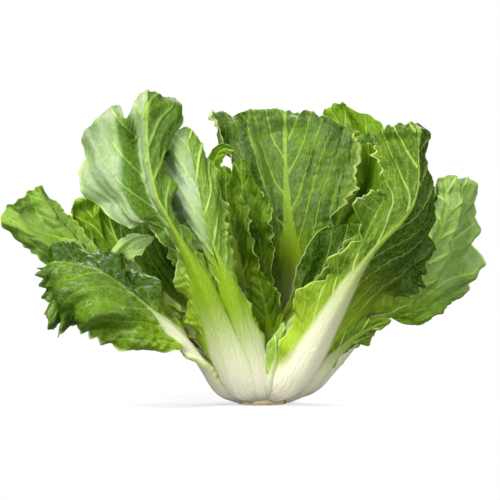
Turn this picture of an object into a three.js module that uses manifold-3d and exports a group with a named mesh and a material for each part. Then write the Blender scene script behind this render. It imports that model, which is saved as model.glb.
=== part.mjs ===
// A head of escarole standing on its cut stem base. Millimetres, +Z up, the stem axis on Z.
// Every leaf is one solid: a thick pale stalk that runs into a midrib and a thin wavy blade.
// The leaf table below gives each leaf its midrib curve, the way its underside faces and its outline.
import * as THREE from 'three';
import { mergeVertices } from 'three/addons/utils/BufferGeometryUtils.js';
import Module from 'manifold-3d';

// ---- driving dimensions ----
const CUT_RADIUS = 19; // flat cut face of the stem base
const CORE_HEIGHT = 34; // top of the short stem inside the head
const CORE_SIDES = 32;
const ROW_STEP = 19; // rows of facets are about this far apart along a leaf
const MOST_ROWS = 13;
const FEWEST_ROWS = 6;
const COLUMNS = [-1, -0.68, -0.3, 0, 0.3, 0.68, 1]; // steps across a leaf, 0 is the midrib
const BLADE = 1.3; // thickness of the blade
const STALK = 6; // extra thickness of the stalk at its foot
const RIB = 0.9; // extra thickness of the midrib at the tip
const RIB_INNER = 0.3; // share of the thickness on the inner face, the rest swells the underside
const CLEARANCE = 0.45; // each neighbouring leaf keeps this far away
const FACET_TOLERANCE = 0.1; // facets finer than this are merged after a cut

const LEAF_GREEN = 0x4f8a2a;
const HEART_GREEN = 0x86ad3c;
const STEM_WHITE = 0xe9e6cf;

// Each leaf: spine points from foot to tip, the directions its underside faces at foot, middle and tip,
// half widths at even steps from foot to tip (left and right of the inner face, tip up), cup and fold
// angles in degrees at foot, middle and tip (left, right), pleat [depth, count, phase], ruffle depth,
// bow [left, right] that pulls the margins back from the tip, and the seed of its waves. Some leaves have
// a notch in the tip or a long crease as well, both [place across in millimetres, spread, depth].
const LEAVES = [
  {
    name: 'leaf_front_left_tall',
    spine: [[-9, -17, 6], [-18, -33, 12], [-25, -45, 30], [-36, -57, 68], [-46, -65, 95],
      [-57, -71, 118], [-70, -76, 143], [-78, -73, 160], [-84, -63, 196], [-84, -52, 236]],
    under: [[-0.4, -0.7, -0.6], [-0.25, -0.95, 0], [-0.1, -1, 0.1]],
    wide: [[15, 19, 20, 17, 14, 13, 15, 24, 32, 30], [15, 20, 30, 26, 18, 18, 32, 57, 57, 43]],
    cup: [[50, 50, 30], [50, 30, 20]],
    fold: [[10, 40, 30], [10, 10, 10]],
    pleat: [0, 3, 0], ruffle: 3, bow: [-0.07, 0.03], seed: 3,
    notch: [17, 4, 16], crease: [13, 7, 14],
  },
  {
    name: 'leaf_front_right_folded',
    spine: [[10, -16, 6], [20, -32, 12], [32, -46, 30], [50, -60, 66], [67, -70, 97], [83, -75, 119],
      [100, -76, 137], [110, -74, 152], [114, -69, 174], [113, -60, 213]],
    under: [[0.3, -0.7, -0.6], [0.15, -1, 0], [0.1, -1, 0.2]],
    wide: [[15, 20, 28, 44, 64, 72, 70, 58, 38, 20], [15, 20, 24, 30, 18, 17, 30, 30, 29, 48]],
    cup: [[50, 40, 30], [50, 30, 40]],
    fold: [[10, 25, 50], [10, 15, 5]],
    pleat: [2, 3, 0], ruffle: 4, bow: [0.14, -0.03], seed: 9,
  },
  {
    name: 'leaf_front_bud',
    spine: [[3, -17, 6], [5, -31, 13], [8, -39, 26], [12, -43, 44], [16, -43, 64]],
    under: [[0.1, -0.7, -0.7], [0.1, -1, 0], [0.1, -1, 0.1]],
    wide: [[9, 9, 8, 8, 8, 4], [9, 9, 8, 8, 8, 4]],
    cup: [[50, 30, 30], [50, 30, 30]],
    fold: [[10, 5, 0], [10, 5, 0]],
    pleat: [0, 3, 0], ruffle: 1.5, bow: [0.1, 0.1], seed: 28,
  },
  {
    name: 'leaf_left_low',
    spine: [[-16, -8, 6], [-30, -18, 12], [-40, -30, 27], [-54, -44, 48], [-74, -56, 67],
      [-94, -62, 84], [-112, -64, 98], [-131, -62, 106], [-150, -58, 108], [-168, -54, 104]],
    under: [[-0.6, -0.3, -0.7], [-0.4, 0.1, -0.9], [-0.5, 0.5, -0.6]],
    wide: [[12, 9, 8, 10, 26, 44, 50, 51, 50, 44], [13, 18, 20, 20, 22, 24, 26, 28, 28, 24]],
    cup: [[50, -60, -60], [50, 30, 0]],
    fold: [[10, -30, -30], [10, 10, 0]],
    pleat: [3, 3, 0.2], ruffle: 6, bow: [-0.08, 0.08], seed: 15,
    crease: [-21, 9, 8],
  },
  {
    name: 'leaf_right_outer',
    spine: [[18, 2, 7], [38, 2, 13], [52, 2, 28], [78, 3, 60], [103, 4, 86], [121, 5, 106],
      [134, 7, 128], [139, 9, 150], [137, 12, 172]],
    under: [[0.7, -0.5, -0.6], [0.5, -0.8, -0.2], [0.3, -0.95, 0]],
    wide: [[14, 18, 20, 20, 28, 66, 64, 40, 36, 24], [14, 18, 18, 20, 30, 38, 38, 30, 22, 14]],
    cup: [[50, 30, 30], [50, 30, 30]],
    fold: [[10, 5, 5], [10, 5, 5]],
    pleat: [4, 4, 0.5], ruffle: 5, bow: [-0.03, 0.04], seed: 11,
  },
  {
    name: 'leaf_right_low',
    spine: [[18, -8, 6], [33, -15, 13], [43, -23, 23], [53, -30, 37], [66, -37, 50], [80, -41, 59],
      [96, -43, 66]],
    under: [[0.5, -0.5, -0.7], [0.6, -0.7, -0.4], [0.4, -0.8, -0.5]],
    wide: [[13, 14, 13, 13, 13, 8], [13, 15, 17, 20, 18, 9]],
    cup: [[50, 30, 30], [50, 30, 30]],
    fold: [[10, 5, 5], [10, 5, 5]],
    pleat: [1, 3, 0], ruffle: 2.5, bow: [0.1, 0.1], seed: 13,
  },
  {
    name: 'leaf_left_far',
    spine: [[-18, -2, 8], [-32, -6, 16], [-46, -10, 36], [-70, -12, 60], [-92, -10, 80],
      [-114, -4, 97], [-131, 2, 114], [-147, 6, 132], [-160, 6, 149], [-170, 4, 165]],
    under: [[-0.6, 0.1, -0.7], [-0.3, 0.8, -0.5], [-0.2, 0.95, -0.3]],
    wide: [[13, 16, 18, 18, 18, 20, 24, 32, 38, 30], [13, 16, 18, 16, 12, 9, 6, 5, 5, 5]],
    cup: [[50, 0, -20], [50, 30, 30]],
    fold: [[10, 0, -10], [10, 30, 30]],
    pleat: [4, 3, 0.2], ruffle: 5, bow: [-0.05, 0.05], seed: 17,
  },
  {
    name: 'leaf_front_left_inner',
    spine: [[-2, -17, 7], [-4, -32, 15], [-10, -43, 40], [-22, -54, 80], [-33, -61, 112],
      [-41, -61, 142], [-47, -52, 170], [-56, -36, 209]],
    under: [[-0.1, -0.8, -0.6], [0.1, -1, 0], [0.15, -1, 0.1]],
    wide: [[13, 16, 17, 15, 17, 21, 25, 26, 20, 11], [13, 16, 17, 15, 15, 21, 29, 30, 25, 16]],
    cup: [[50, 60, 40], [50, 50, 40]],
    fold: [[10, 20, 15], [10, 15, 10]],
    pleat: [0, 2, 0.94], ruffle: 2.5, bow: [0.04, -0.03], seed: 5,
    crease: [2, 5, 5],
  },
  {
    name: 'leaf_back_tall',
    spine: [[4, 15, 12], [9, 26, 24], [18, 34, 50], [21, 42, 88], [21, 50, 125], [19, 58, 158],
      [18, 68, 192], [18, 80, 222]],
    under: [[0.1, 0.8, -0.5], [0, 1, 0], [0, 1, 0.1]],
    wide: [[14, 16, 16, 18, 24, 28, 34, 48, 62, 60], [14, 16, 16, 18, 26, 42, 58, 64, 62, 46]],
    cup: [[50, 55, 20], [50, 40, 25]],
    fold: [[10, 15, 5], [10, 10, 5]],
    pleat: [3, 4, 0.5], ruffle: 4, bow: [-0.02, 0.02], seed: 7,
  },
  {
    name: 'leaf_back_right_tall',
    spine: [[12, 17, 12], [20, 28, 24], [28, 38, 52], [42, 54, 98], [56, 65, 136], [67, 72, 160],
      [69, 78, 184], [61, 87, 208], [50, 93, 228]],
    under: [[0.3, 0.8, -0.5], [0.2, 1, 0], [0.2, 1, 0.1]],
    wide: [[13, 13, 15, 22, 26, 26], [13, 13, 14, 24, 36, 33]],
    cup: [[50, 30, 20], [50, 30, 20]],
    fold: [[10, 5, 5], [10, 5, 5]],
    pleat: [3, 3, 0.5], ruffle: 4, bow: [0.05, 0.1], seed: 8,
  },
  {
    name: 'leaf_left_back',
    spine: [[-16, 6, 8], [-30, 12, 18], [-46, 18, 42], [-80, 28, 80], [-106, 36, 106], [-124, 42, 131],
      [-137, 46, 157]],
    under: [[-0.5, 0.4, -0.7], [-0.4, 0.7, -0.5], [-0.4, 0.8, -0.3]],
    wide: [[13, 13, 13, 24, 34, 28], [13, 13, 13, 22, 26, 22]],
    cup: [[50, 20, 20], [50, 20, 20]],
    fold: [[10, 5, 0], [10, 5, 0]],
    pleat: [2, 3, 1], ruffle: 4, bow: [0.08, 0.08], seed: 19,
  },
  {
    name: 'leaf_left_mid',
    spine: [[-14, 2, 12], [-26, 4, 24], [-46, 6, 50], [-76, 10, 80], [-99, 14, 104], [-112, 18, 128],
      [-120, 20, 154]],
    under: [[-0.5, 0.4, -0.6], [-0.2, 0.9, -0.3], [-0.2, 0.9, -0.3]],
    wide: [[12, 12, 12, 22, 26, 20], [12, 12, 14, 34, 42, 30]],
    cup: [[50, 30, 30], [50, 30, 30]],
    fold: [[10, 5, 0], [10, 5, 0]],
    pleat: [3, 4, 0], ruffle: 5, bow: [0.08, 0.08], seed: 21,
  },
  {
    name: 'leaf_left_frill',
    spine: [[-14, -6, 14], [-28, -10, 28], [-50, -16, 52], [-78, -20, 78], [-98, -26, 98],
      [-104, -32, 110], [-95, -36, 120], [-79, -38, 125]],
    under: [[-0.5, 0.4, -0.6], [-0.3, 0.8, -0.4], [0, 1, -0.2]],
    wide: [[10, 10, 9, 7, 7, 8, 9, 8], [10, 9, 8, 7, 7, 8, 9, 8]],
    cup: [[50, 30, 30], [50, 30, 30]],
    fold: [[10, 5, 0], [10, 5, 0]],
    pleat: [1, 3, 0], ruffle: 4, bow: [0.02, 0.02], seed: 22,
  },
  {
    name: 'leaf_inner_right',
    spine: [[6, 8, 20], [14, 10, 45], [34, 12, 76], [54, 16, 102], [70, 20, 122], [82, 26, 136]],
    under: [[0.4, 0.8, -0.3], [0.3, 0.9, -0.2], [0.3, 0.9, -0.2]],
    wide: [[10, 10, 12, 20, 26, 18], [10, 10, 11, 18, 22, 16]],
    cup: [[50, 30, 30], [50, 30, 30]],
    fold: [[10, 5, 0], [10, 5, 0]],
    pleat: [1, 3, 0], ruffle: 3, bow: [0.08, 0.08], seed: 23,
  },
  {
    name: 'leaf_inner_front',
    spine: [[-2, 4, 20], [-2, 8, 46], [-3, 12, 76], [-6, 12, 106], [-11, 14, 136], [-15, 18, 164],
      [-16, 22, 186]],
    under: [[0, 1, -0.2], [0, 1, 0], [0.1, 1, 0.1]],
    wide: [[9, 10, 14, 20, 22, 13], [9, 10, 11, 16, 20, 11]],
    cup: [[50, 30, 30], [50, 30, 30]],
    fold: [[10, 5, 0], [10, 5, 0]],
    pleat: [1, 3, 0], ruffle: 3, bow: [0.1, 0.1], seed: 25,
  },
  {
    name: 'leaf_inner_curl',
    spine: [[-4, 8, 20], [-8, 12, 50], [-18, 18, 96], [-30, 24, 140], [-35, 26, 168], [-36, 26, 182],
      [-29, 24, 191], [-18, 22, 188]],
    under: [[0, 1, -0.2], [0, 1, 0], [0.1, 1, 0.1]],
    wide: [[8, 8, 8, 8, 6, 5], [8, 8, 8, 8, 6, 5]],
    cup: [[50, 30, 30], [50, 30, 30]],
    fold: [[10, 5, 0], [10, 5, 0]],
    pleat: [0, 3, 0], ruffle: 2, bow: [0.02, 0.02], seed: 26,
  },
  {
    name: 'leaf_inner_small',
    spine: [[4, -4, 18], [6, -12, 36], [5, -18, 60], [0, -22, 84], [-6, -24, 106]],
    under: [[0, 1, -0.2], [0, 1, 0], [0.1, 1, 0.1]],
    wide: [[7, 8, 10, 12, 12, 7], [7, 8, 10, 12, 12, 7]],
    cup: [[50, 30, 30], [50, 30, 30]],
    fold: [[10, 5, 0], [10, 5, 0]],
    pleat: [0, 3, 0], ruffle: 3, bow: [0.1, 0.1], seed: 27,
  },
  {
    name: 'leaf_heart_left',
    spine: [[-7, 0, 20], [-10, -3, 50], [-14, -7, 84], [-20, -8, 116], [-26, -4, 148], [-28, 2, 182]],
    under: [[-0.2, 1, -0.2], [-0.1, 1, -0.1], [-0.1, 1, 0]],
    wide: [[9, 9, 11, 15, 15, 8], [9, 9, 11, 15, 15, 8]],
    cup: [[50, 30, 30], [50, 30, 30]],
    fold: [[10, 5, 0], [10, 5, 0]],
    pleat: [1, 3, 0], ruffle: 3, bow: [0.1, 0.1], seed: 29,
  },
  {
    name: 'leaf_inner_left_front',
    spine: [[-5, -8, 18], [-14, -21, 44], [-31, -33, 80], [-46, -40, 112], [-57, -41, 142],
      [-64, -37, 168], [-68, -31, 192]],
    under: [[-0.3, -0.7, -0.5], [-0.3, -0.95, 0], [-0.2, -1, 0.1]],
    wide: [[9, 10, 13, 18, 20, 12], [9, 10, 14, 22, 26, 15]],
    cup: [[50, 40, 30], [50, 40, 30]],
    fold: [[10, 10, 5], [10, 10, 5]],
    pleat: [2, 3, 0], ruffle: 3, bow: [0.08, 0.08], seed: 31,
  },
  {
    name: 'leaf_inner_right_front',
    spine: [[8, -6, 18], [20, -16, 42], [43, -26, 74], [69, -32, 101], [87, -34, 126], [94, -33, 148]],
    under: [[0.4, -0.6, -0.5], [0.3, -0.9, -0.2], [0.2, -1, 0.1]],
    wide: [[9, 10, 13, 22, 24, 14], [9, 10, 12, 16, 18, 11]],
    cup: [[50, 40, 30], [50, 40, 30]],
    fold: [[10, 10, 5], [10, 10, 5]],
    pleat: [2, 3, 0.5], ruffle: 3, bow: [0.08, 0.08], seed: 33,
  },
];

// The leaves behind: [compass angle, reach from the stem, height of the tip, half width of the blade].
const BACK_LEAVES = [
  [20, 122, 138, 42], [44, 126, 150, 38], [68, 106, 176, 38], [94, 120, 172, 38], [119, 102, 176, 38],
  [146, 124, 142, 38], [30, 104, 128, 30], [82, 84, 182, 32], [110, 72, 160, 30], [140, 78, 172, 31],
];

const YOUNG_LEAVES = ['leaf_front_bud', 'leaf_inner_small', 'leaf_heart_left'];

const wasm = await Module();
wasm.setup();

const smoothstep = THREE.MathUtils.smoothstep;

/** Smooth value between three keys at the foot, the middle and the tip. */
function keyed(keys, u) {
  const [foot, middle, tip] = keys;
  return foot + (middle - foot) * smoothstep(u, 0, 0.5) + (tip - middle) * smoothstep(u, 0.5, 1);
}

/** The half width of one side of a leaf, a smooth curve through its keys. */
function halfWidth(keys, u) {
  const curve = new THREE.SplineCurve(keys.map((w, i) => new THREE.Vector2(i, w)));
  return curve.getPoint(u).y;
}

/** A fixed pseudo-random number between 0 and 1. */
function random(seed, k) {
  const x = Math.sin(seed * 12.9898 + k * 78.233) * 43758.5453;
  return x - Math.floor(x);
}

/** A gentle random relief: a few sine waves in all directions, about 1 deep. */
function waves(seed, count, low, high) {
  const list = [];
  for (let i = 0; i < count; i += 1) {
    const angle = 2 * Math.PI * random(seed, 3 * i + 1);
    const rate = low + (high - low) * random(seed, 3 * i + 2);
    list.push([rate * Math.cos(angle), rate * Math.sin(angle), 2 * Math.PI * random(seed, 3 * i + 3)]);
  }
  const scale = Math.sqrt(count / 2);
  return (x, y) => list.reduce((sum, [a, b, c]) => sum + Math.sin(a * x + b * y + c), 0) / scale;
}

/** How much thicker than the blade the leaf is at u along it and t millimetres from the midrib. */
function ribDepth(u, t) {
  const reach = THREE.MathUtils.lerp(15, 5, smoothstep(u, 0, 0.6));
  const depth = THREE.MathUtils.lerp(STALK, RIB, smoothstep(u, 0, 0.75));
  return depth * Math.max(0, 1 - (t / reach) ** 2);
}

/** A smooth bump 1 high at `place`, about as wide as `spread` either side. */
function bump(t, place, spread) {
  return Math.exp(-(((t - place) / spread) ** 2));
}

/** The middle surface of a leaf: a function of u along it (0 to 1) and v across it (-1 to 1). */
function leafSurface(leaf) {
  const stations = leaf.spine.map((p) => new THREE.Vector3(...p));
  const spine = new THREE.CatmullRomCurve3(stations, false, 'catmullrom', 0.5);
  const length = spine.getLength();
  const relief = waves(leaf.seed, 7, 0.1, 0.22);
  const [pleatDepth, pleatCount, pleatPhase] = leaf.pleat;
  const [notchPlace, notchSpread, notchDepth] = leaf.notch ?? [0, 1, 0];
  const [creasePlace, creaseSpread, creaseDepth] = leaf.crease ?? [0, 1, 0];
  const surface = (u, v) => {
    const side = v > 0 ? 1 : 0;
    const sign = Math.sign(v);
    const x = Math.abs(v);
    const width = halfWidth(leaf.wide[side], u);
    const t = v * width;
    const bow = leaf.bow[side] * smoothstep(u, 0.35, 1) + 0.04 * smoothstep(u, 0.9, 1);
    const notch = (notchDepth / length) * bump(t, notchPlace, notchSpread) * smoothstep(u, 0.8, 1);
    const along = THREE.MathUtils.clamp(THREE.MathUtils.clamp(u - bow * v * v, 0, 1) - notch, 0, 1);
    const point = spine.getPointAt(along);
    const tangent = spine.getTangentAt(along);
    const under = new THREE.Vector3(...[0, 1, 2].map((k) => keyed(leaf.under.map((d) => d[k]), along)));
    const inner = under.addScaledVector(tangent, -under.dot(tangent)).normalize().negate();
    const across = new THREE.Vector3().crossVectors(tangent, inner);
    const fold = THREE.MathUtils.degToRad(keyed(leaf.fold[side], u));
    const cup = THREE.MathUtils.degToRad(keyed(leaf.cup[side], u)) || 0.001;
    const turn = fold + cup * x;
    const reach = (width / cup) * (Math.sin(turn) - Math.sin(fold));
    const lift = (width / cup) * (Math.cos(fold) - Math.cos(turn));
    const normal = inner.clone().multiplyScalar(Math.cos(turn));
    normal.addScaledVector(across, -sign * Math.sin(turn));
    const loose = smoothstep(width, 2, 18);
    const swing = 0.97 * Math.cos(Math.PI * pleatCount * sign * x ** 0.85 + pleatPhase);
    const pleat = pleatDepth * smoothstep(u, 0.3, 0.7) * smoothstep(x, 0, 0.3) * (Math.asin(swing) / 1.33);
    const fading = 1 - 0.6 * smoothstep(u, 0.88, 1);
    const crease = creaseDepth * smoothstep(u, 0.35, 0.7) * fading * bump(t, creasePlace, creaseSpread);
    const rim = smoothstep(x, 0.35, 1) + 0.6 * smoothstep(u, 0.75, 1) * (1 - smoothstep(x, 0.35, 1));
    const wave = 0.8 * leaf.ruffle * loose * rim * smoothstep(u, 0.05, 0.35) * relief(along * length, t);
    point.addScaledVector(across, sign * reach).addScaledVector(inner, lift);
    point.addScaledVector(normal, pleat + crease + wave);
    return { point, t };
  };
  return { surface, length };
}

/** The closed solid of a leaf, grown on every side by `grow`. */
function leafGeometry(leaf, grow = 0) {
  const { surface, length } = leafSurface(leaf);
  const rows = THREE.MathUtils.clamp(Math.round(length / ROW_STEP), FEWEST_ROWS, MOST_ROWS);
  const grid = [];
  for (let i = 0; i <= rows; i += 1) {
    grid.push(COLUMNS.map((v) => ({ ...surface(i / rows, v), u: i / rows, v })));
  }
  const last = COLUMNS.length - 1;
  const positions = [[], []];
  grid.forEach((row, i) => row.forEach((spot, j) => {
    const along = grid[Math.min(i + 1, rows)][j].point.clone().sub(grid[Math.max(i - 1, 0)][j].point);
    const across = row[Math.min(j + 1, last)].point.clone().sub(row[Math.max(j - 1, 0)].point);
    const normal = new THREE.Vector3().crossVectors(across, along).normalize();
    const edge = spot.point.clone();
    if (j === 0 || j === last) edge.addScaledVector(across.clone().normalize(), j === 0 ? -grow : grow);
    if (i === 0 || i === rows) edge.addScaledVector(along.clone().normalize(), i === 0 ? -grow : grow);
    const thick = BLADE + ribDepth(spot.u, spot.t);
    positions[0].push(edge.clone().addScaledVector(normal, (RIB_INNER - 1) * thick - grow));
    positions[1].push(edge.clone().addScaledVector(normal, RIB_INNER * thick + grow));
  }));
  const wide = last + 1;
  const sheet = positions[0].length;
  const index = [];
  const quad = (a, b, c, d) => index.push(a, b, c, a, c, d);
  for (let i = 0; i < rows; i += 1) {
    for (let j = 0; j < last; j += 1) {
      const a = i * wide + j;
      quad(a, a + wide, a + wide + 1, a + 1);
      quad(sheet + a, sheet + a + 1, sheet + a + wide + 1, sheet + a + wide);
    }
  }
  const rim = [];
  for (let j = 0; j < last; j += 1) rim.push(j);
  for (let i = 0; i < rows; i += 1) rim.push(i * wide + last);
  for (let j = last; j > 0; j -= 1) rim.push(rows * wide + j);
  for (let i = rows; i > 0; i -= 1) rim.push(i * wide);
  rim.forEach((a, k) => {
    const b = rim[(k + 1) % rim.length];
    quad(a, b, sheet + b, sheet + a);
  });
  const geometry = new THREE.BufferGeometry().setFromPoints(positions.flat());
  geometry.setIndex(index);
  return geometry;
}

/** The short stem: a flat cut face below, and a dome above that carries the leaf feet. */
function coreGeometry(grow = 0) {
  const dome = [[CUT_RADIUS, 2.5], [16, 10], [11, 20], [5, CORE_HEIGHT - 3]];
  const profile = [
    new THREE.Vector2(0, -grow),
    new THREE.Vector2(CUT_RADIUS - 1 + grow, -grow),
    ...dome.map(([r, z]) => new THREE.Vector2(r + grow, z)),
    new THREE.Vector2(0, CORE_HEIGHT + grow),
  ];
  return new THREE.LatheGeometry(profile, CORE_SIDES).rotateX(Math.PI / 2);
}

function toSolid(geometry) {
  const bare = geometry.clone();
  bare.deleteAttribute('normal');
  bare.deleteAttribute('uv');
  const merged = mergeVertices(bare, 1e-4);
  return new wasm.Manifold(new wasm.Mesh({
    numProp: 3,
    vertProperties: new Float32Array(merged.attributes.position.array),
    triVerts: new Uint32Array(merged.index.array),
  }));
}

function toGeometry(solid) {
  const mesh = solid.getMesh();
  const geometry = new THREE.BufferGeometry();
  geometry.setAttribute('position', new THREE.BufferAttribute(new Float32Array(mesh.vertProperties), 3));
  geometry.setIndex(Array.from(mesh.triVerts));
  geometry.computeVertexNormals();
  return geometry;
}

/** One of the leaves behind, which lean out and back from the stem. */
function backLeaf([angle, reach, height, blade], i) {
  const turn = THREE.MathUtils.degToRad(angle);
  const at = (r, z) => [r * Math.cos(turn), r * Math.sin(turn), z];
  const outer = reach > 100;
  const foot = outer ? [[17, 7], [32, 13], [46, 28]] : [[13, 13], [24, 24], [34, 48]];
  const rise = [[0.58, 0.42], [0.78, 0.64], [0.92, 0.84], [1, 1]].map(([r, z]) => [r * reach, z * height]);
  const spine = [...foot, ...rise].map(([r, z]) => at(r, z));
  const wide = [13, 14, 18, 0.8 * blade, blade, 0.6 * blade];
  return {
    name: `leaf_back_${i + 1}`,
    spine,
    under: [at(0.7, -0.7), at(1, -0.1), at(1, 0.1)],
    wide: [wide, wide],
    cup: [[50, 40, 25], [50, 40, 25]],
    fold: [[10, 5, 0], [10, 5, 0]],
    pleat: [3, 3, i],
    ruffle: 4,
    bow: [0.06, 0.06],
    seed: 50 + i,
  };
}

const head = new THREE.Group();

function addMesh(name, geometry, color, roughness) {
  const mesh = new THREE.Mesh(geometry, new THREE.MeshStandardMaterial({ color, roughness, metalness: 0 }));
  mesh.name = name;
  head.add(mesh);
}

addMesh('stem_core', coreGeometry(), STEM_WHITE, 0.6);

// Leaves are taken from the outside in, and each gives way to those already in place.
const placed = [toSolid(coreGeometry(CLEARANCE))];
for (const leaf of [...LEAVES, ...BACK_LEAVES.map(backLeaf)]) {
  const full = toSolid(leafGeometry(leaf));
  const cut = full.subtract(wasm.Manifold.union(placed)).simplify(FACET_TOLERANCE);
  const bodies = cut.decompose().sort((a, b) => b.volume() - a.volume());
  const color = YOUNG_LEAVES.includes(leaf.name) ? HEART_GREEN : LEAF_GREEN;
  const geometry = toGeometry(bodies[0]);
  addMesh(leaf.name, geometry, color, 0.5);
  placed.push(toSolid(leafGeometry(leaf, CLEARANCE)), toSolid(geometry));
}

export default head;
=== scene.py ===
"""A head of escarole, standing on its cut stem. Every leaf of the frame is grown again as a fine mesh with its
stalk, midrib, side veins, puffed blade and toothed, ruffled margin. Lengths in the tables are millimetres."""
import math
import bpy
import numpy as np
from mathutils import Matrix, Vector


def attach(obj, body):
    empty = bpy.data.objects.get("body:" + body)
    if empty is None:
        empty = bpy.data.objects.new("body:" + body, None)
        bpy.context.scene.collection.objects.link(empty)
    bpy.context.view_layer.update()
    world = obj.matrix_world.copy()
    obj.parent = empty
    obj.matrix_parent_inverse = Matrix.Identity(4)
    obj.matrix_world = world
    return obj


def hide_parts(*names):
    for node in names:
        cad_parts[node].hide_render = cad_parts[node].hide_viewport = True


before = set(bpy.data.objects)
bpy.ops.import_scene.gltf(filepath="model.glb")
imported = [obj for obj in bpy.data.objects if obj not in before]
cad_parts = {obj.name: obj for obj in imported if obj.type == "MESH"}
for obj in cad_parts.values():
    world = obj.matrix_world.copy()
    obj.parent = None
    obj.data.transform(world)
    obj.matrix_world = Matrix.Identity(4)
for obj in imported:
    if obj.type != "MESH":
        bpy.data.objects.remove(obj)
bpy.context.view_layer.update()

MM = 0.001

# ---- the stem ----
CUT_RADIUS = 19.0  # the flat cut face
CORE_HEIGHT = 34.0
CORE_PROFILE = [(0, 0.9), (6, 0.7), (13, 0.25), (CUT_RADIUS - 2, 0), (CUT_RADIUS - 0.8, 0.3), (CUT_RADIUS, 2.5),
                (16, 10), (11, 20), (5, CORE_HEIGHT - 3), (0.2, CORE_HEIGHT)]  # radius and height, from the middle

# ---- sections of a leaf ----
STATIONS = (0, 0.15, 0.3, 0.45, 0.6, 0.8, 1)  # places along a leaf, and there
STALK_REACH = (28, 22, 15, 9.5, 4.6, 1.7, 0.9)  # the half width of the stalk or midrib
STALK_DEPTH = (5.5, 4.8, 3.6, 2.2, 1.1, 0.6, 0.3)  # and its extra thickness
THICKEST = 1.3  # the most that a leaf's look may multiply that thickness
BLADE_THICK = 0.6
EDGE_THICK = 0.32
INNER_SHARE = 0.3  # share of the thickness on the inner face
TOOTH_PITCH = 8.5
CELL_STEP = 9  # size of a puffed cell across the leaf
RIDGE_PITCH = 3.6  # fine ridges along the stalk
SIDE_SHIFT = 300  # how far apart in a pattern the two sides of a leaf are
ROWS_PER_MM = 0.85
COLUMNS = 62

# Random patterns of a leaf: the number added to its seed, and the size of a cell along and across.
GRAIN = {
    "lobes": (50, 26, 1), "tooth_place": (51, 17, 1), "tooth_depth": (52, 11, 1), "tip_place": (53, 17, 1),
    "tip_line": (54, 21, 1), "frill": (10, 5, 5), "warp": (20, 42, 30), "jog": (21, 11, 11), "steps": (22, 13, 13),
    "crinkle": (31, 3.6, 3.6), "vigour": (32, 22, 22), "sway": (33, 50, 50), "wrinkle": (35, 5, 26),
    "fluting": (36, 60, 1.6), "ridges": (40, 40, 8),
}
FRILL_WAVES, PUFF_CELLS = 9, 30  # added to the seed for the other two patterns


def leaf(name, spine, under, wide, cup, fold, pleat, ruffle, bow, seed, notch=(0, 1, 0), crease=(0, 1, 0)):
    """One row of the leaf table, the same measures as the CAD solid has.

    spine: points along the midrib; under: which way the under face looks, at the foot, the middle and the tip
    wide: half widths of the two sides; cup, fold: degrees for each side, at the same three places
    pleat: depth, count and phase; ruffle: height of the slow waves; bow: how far each side of the tip draws back
    notch, crease: place across the leaf, spread and depth"""
    return dict(name=name, spine=spine, under=under, wide=wide, cup=cup, fold=fold, pleat=pleat, ruffle=ruffle,
                bow=bow, seed=seed, notch=notch, crease=crease)


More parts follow.
